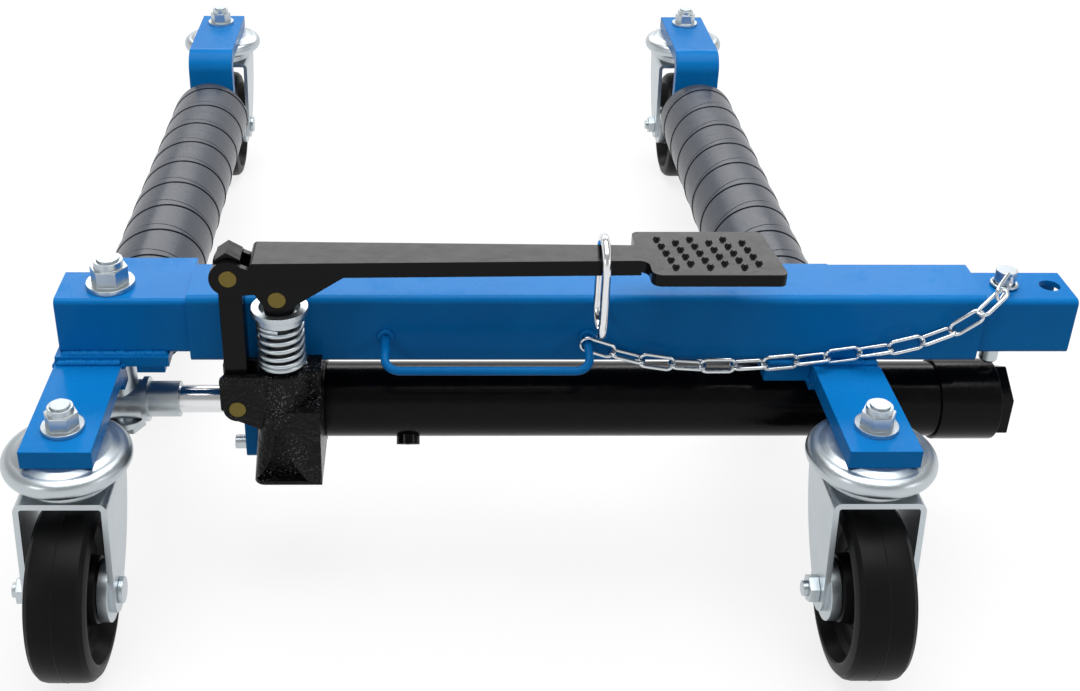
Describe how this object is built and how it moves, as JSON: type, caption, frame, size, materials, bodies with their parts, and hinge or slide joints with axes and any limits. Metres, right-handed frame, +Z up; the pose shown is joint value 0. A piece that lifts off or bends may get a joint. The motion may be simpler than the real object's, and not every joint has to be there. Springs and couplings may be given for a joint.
{
  "type": "vehicle positioning jack",
  "caption": "Hydraulic wheel dolly: a telescoping square beam with two taped rollers on swivel casters, drawn together by a foot pump to lift a car wheel.",
  "frame": {"origin": "middle of the footprint, on the floor", "axes": "+X along the beam towards the locking pin, +Y along the rollers away from the pedal side, +Z up"},
  "size_m": [0.561, 0.709, 0.2183],
  "materials": {
    "blue_paint": "gloss powder coat",
    "black_paint": "gloss enamel over casting skin",
    "black_casting": "gloss enamel over rough casting",
    "zinc_plate": "bright zinc plate",
    "chrome_steel": "chrome plate",
    "brass_pins": "yellow passivated, satin",
    "roller_tape": "satin grip tape, lapped in a helix",
    "bush_plastic": "moulded nylon",
    "wheel_plastic": "satin moulded, with a parting line"
  },
  "bodies": {
    "frame": {"sleeve": "blue_paint", "right_cross_plate": "blue_paint", "right_roller_leg": "blue_paint", "right_near_bracket": "blue_paint", "right_far_bracket": "blue_paint", "right_roller_axle": "zinc_plate", "right_near_stem": "zinc_plate", "right_near_cup": "zinc_plate", "right_far_stem": "zinc_plate", "right_far_cup": "zinc_plate", "cylinder_tube": "black_paint", "cylinder_cap": "black_paint", "drain_plug": "black_paint", "head_plate": "blue_paint", "head_bolts": "zinc_plate", "pump_block": "black_casting", "handle": "blue_paint", "return_spring": "zinc_plate", "chain": "chrome_steel"},
    "arm": {"slide_tube": "blue_paint", "left_cross_plate": "blue_paint", "left_roller_leg": "blue_paint", "left_near_bracket": "blue_paint", "left_far_bracket": "blue_paint", "left_roller_axle": "zinc_plate", "left_near_stem": "zinc_plate", "left_near_cup": "zinc_plate", "left_far_stem": "zinc_plate", "left_far_cup": "zinc_plate", "piston": "zinc_plate", "ram_rod": "chrome_steel", "rod_end": "zinc_plate", "eye_bolt": "zinc_plate"},
    "link": {"link_bars": "black_casting", "link_pins": "brass_pins"},
    "lever": {"foot_lever": "black_casting", "lever_pin": "brass_pins"},
    "plunger": {"plunger": "zinc_plate", "spring_cap": "zinc_plate"},
    "bail": {"wire_bail": "chrome_steel"},
    "lock_pin": {"locking_pin": "zinc_plate", "pin_ring": "zinc_plate"},
    "left_roller": {"left_roller_tube": "zinc_plate", "left_roller_wrap": "roller_tape", "left_roller_bushes": "bush_plastic"},
    "left_near_caster": {"left_near_fork": "zinc_plate", "left_near_axle": "zinc_plate"},
    "left_near_wheel": {"left_near_wheel": "wheel_plastic"},
    "left_far_caster": {"left_far_fork": "zinc_plate", "left_far_axle": "zinc_plate"},
    "left_far_wheel": {"left_far_wheel": "wheel_plastic"},
    "right_roller": {"right_roller_tube": "zinc_plate", "right_roller_wrap": "roller_tape", "right_roller_bushes": "bush_plastic"},
    "right_near_caster": {"right_near_fork": "zinc_plate", "right_near_axle": "zinc_plate"},
    "right_near_wheel": {"right_near_wheel": "wheel_plastic"},
    "right_far_caster": {"right_far_fork": "zinc_plate", "right_far_axle": "zinc_plate"},
    "right_far_wheel": {"right_far_wheel": "wheel_plastic"}
  },
  "joints": [
    {"name": "arm_slide", "type": "slide", "parent": "frame", "child": "arm", "axis": [1, 0, 0], "range_m": [-0.25, 0]},
    {"name": "link_swing", "type": "hinge", "parent": "frame", "child": "link", "pos_m": [-0.16557, -0.24338, 0.1205], "axis": [0, -1, 0], "range_deg": [0, 2.53]},
    {"name": "pedal_press", "type": "hinge", "parent": "link", "child": "lever", "pos_m": [-0.16557, -0.24338, 0.1989], "axis": [0, -1, 0], "range_deg": [0, 35]},
    {"name": "plunger_stroke", "type": "slide", "parent": "frame", "child": "plunger", "axis": [0, 0, 1], "range_m": [0, 0.0169], "deforming": ["return_spring"]},
    {"name": "bail_slide", "type": "slide", "parent": "lever", "child": "bail", "axis": [1, 0, 0], "range_m": [-0.02, 0.001]},
    {"name": "pin_lift", "type": "slide", "parent": "frame", "child": "lock_pin", "axis": [0, 0, 1], "range_m": [0, 0.08], "deforming": ["chain"]},
    {"name": "left_roller_spin", "type": "hinge", "parent": "arm", "child": "left_roller", "pos_m": [-0.24768, 0.06413, 0.082], "axis": [0, 1, 0], "continuous": true},
    {"name": "left_near_swivel", "type": "hinge", "parent": "arm", "child": "left_near_caster", "pos_m": [-0.24768, -0.28708, 0.1044], "axis": [0, 0, 1], "continuous": true},
    {"name": "left_near_wheel_spin", "type": "hinge", "parent": "left_near_caster", "child": "left_near_wheel", "pos_m": [-0.24768, -0.30807, 0.0464], "axis": [1, 0, 0], "continuous": true},
    {"name": "left_far_swivel", "type": "hinge", "parent": "arm", "child": "left_far_caster", "pos_m": [-0.24768, 0.32162, 0.1044], "axis": [0, 0, 1], "continuous": true},
    {"name": "left_far_wheel_spin", "type": "hinge", "parent": "left_far_caster", "child": "left_far_wheel", "pos_m": [-0.24768, 0.30062, 0.0464], "axis": [1, 0, 0], "continuous": true},
    {"name": "right_roller_spin", "type": "hinge", "parent": "frame", "child": "right_roller", "pos_m": [0.15973, 0.06413, 0.082], "axis": [0, 1, 0], "continuous": true},
    {"name": "right_near_swivel", "type": "hinge", "parent": "frame", "child": "right_near_caster", "pos_m": [0.15973, -0.28708, 0.1044], "axis": [0, 0, 1], "continuous": true},
    {"name": "right_near_wheel_spin", "type": "hinge", "parent": "right_near_caster", "child": "right_near_wheel", "pos_m": [0.15973, -0.30807, 0.0464], "axis": [1, 0, 0], "continuous": true},
    {"name": "right_far_swivel", "type": "hinge", "parent": "frame", "child": "right_far_caster", "pos_m": [0.15973, 0.32162, 0.1044], "axis": [0, 0, 1], "continuous": true},
    {"name": "right_far_wheel_spin", "type": "hinge", "parent": "right_far_caster", "child": "right_far_wheel", "pos_m": [0.15973, 0.30062, 0.0464], "axis": [1, 0, 0], "continuous": true}
  ],
  "couplings": [
    {"joint": "link_swing", "follows": "pedal_press", "ratio": 0.071},
    {"joint": "plunger_stroke", "follows": "pedal_press", "m_per_rad": 0.0275}
  ]
}
